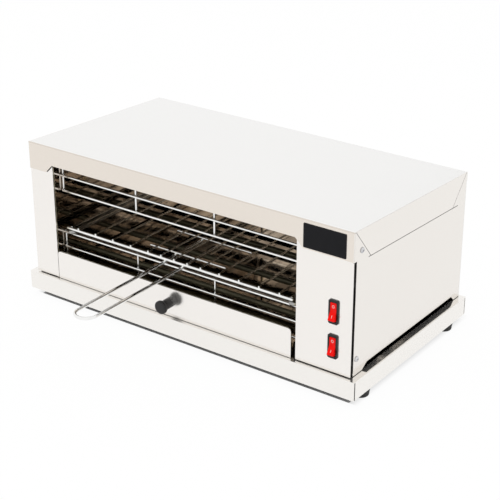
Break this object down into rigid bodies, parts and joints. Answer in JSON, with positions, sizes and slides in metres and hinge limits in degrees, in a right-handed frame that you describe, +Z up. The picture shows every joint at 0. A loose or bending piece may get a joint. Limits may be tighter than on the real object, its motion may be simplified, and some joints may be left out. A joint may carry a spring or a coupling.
{
  "type": "commercial toaster",
  "caption": "Countertop commercial toaster, a wide steel box with an open front, sliding wire rack with a U handle, crumb tray with a knob, and red rocker switches.",
  "frame": {"origin": "centre of the bounding box at the level of the feet", "axes": "+X to the user's right along the front, -Y out of the front opening, +Z up"},
  "size_m": [0.517, 0.445, 0.222],
  "materials": {
    "brushed_steel": "fine brushed stainless sheet",
    "polished_liner": "polished stainless, heat tinted",
    "chromed_wire": "bright chromed wire",
    "heating_rod": "dull dark oxide",
    "insulator_ceramic": "matt white",
    "brass_terminal": "plain",
    "bright_fastener": "bright zinc",
    "foot_rubber": "matt",
    "black_plastic": "satin black",
    "black_plate": "satin black, left blank",
    "red_rocker": "glossy translucent red",
    "lead_sleeve": "woven heat-proof sleeve"
  },
  "bodies": {
    "toaster": {"base_pan": "brushed_steel", "foot_front_left": "foot_rubber", "foot_front_right": "foot_rubber", "foot_rear_left": "foot_rubber", "foot_rear_right": "foot_rubber", "foot_screws": "bright_fastener", "foot_nuts": "bright_fastener", "top_cover": "brushed_steel", "side_panel_left": "brushed_steel", "side_panel_right": "brushed_steel", "corner_bracket_left": "brushed_steel", "corner_bracket_right": "brushed_steel", "side_screws": "bright_fastener", "front_post": "brushed_steel", "control_panel": "brushed_steel", "panel_studs": "bright_fastener", "stud_nuts": "bright_fastener", "inner_wall_left": "polished_liner", "inner_wall_right": "polished_liner", "inner_back": "polished_liner", "upper_reflector": "polished_liner", "element_lower_front": "heating_rod", "element_lower_middle": "heating_rod", "element_lower_rear": "heating_rod", "element_upper_front": "heating_rod", "element_upper_middle": "heating_rod", "element_upper_rear": "heating_rod", "element_insulators": "insulator_ceramic", "element_terminals": "brass_terminal", "upper_guard": "chromed_wire", "lower_guard": "chromed_wire", "rack_support_left": "chromed_wire", "rack_support_right": "chromed_wire", "tray_runner_left": "brushed_steel", "tray_runner_right": "brushed_steel", "switch_housing_upper": "black_plastic", "switch_housing_lower": "black_plastic", "switch_blades_upper": "brass_terminal", "switch_blades_lower": "brass_terminal", "name_plate": "black_plate", "rear_panel": "brushed_steel", "rear_screws": "bright_fastener", "rear_bracket_left": "brushed_steel", "rear_bracket_right": "brushed_steel", "cable_gland": "black_plastic", "gland_nut": "black_plastic", "terminal_block": "insulator_ceramic", "switch_leads": "lead_sleeve"},
    "rack": {"rack_frame": "chromed_wire", "rack_wires": "chromed_wire", "rack_ties": "chromed_wire", "rack_handle": "chromed_wire"},
    "tray": {"crumb_tray": "brushed_steel", "tray_front": "brushed_steel", "tray_knob": "black_plastic", "tray_knob_screw": "bright_fastener"},
    "rocker_upper": {"switch_rocker_upper": "red_rocker"},
    "rocker_lower": {"switch_rocker_lower": "red_rocker"}
  },
  "joints": [
    {"name": "rack_slide", "type": "slide", "parent": "toaster", "child": "rack", "axis": [0, -1, 0], "range_m": [0, 0.15]},
    {"name": "tray_slide", "type": "slide", "parent": "toaster", "child": "tray", "axis": [0, -1, 0], "range_m": [0, 0.2]},
    {"name": "rocker_upper_tilt", "type": "hinge", "parent": "toaster", "child": "rocker_upper", "pos_m": [0.2249, -0.0559, 0.1159], "axis": [1, 0, 0], "range_deg": [0, 30]},
    {"name": "rocker_lower_tilt", "type": "hinge", "parent": "toaster", "child": "rocker_lower", "pos_m": [0.2249, -0.0559, 0.0708], "axis": [1, 0, 0], "range_deg": [0, 30]}
  ]
}
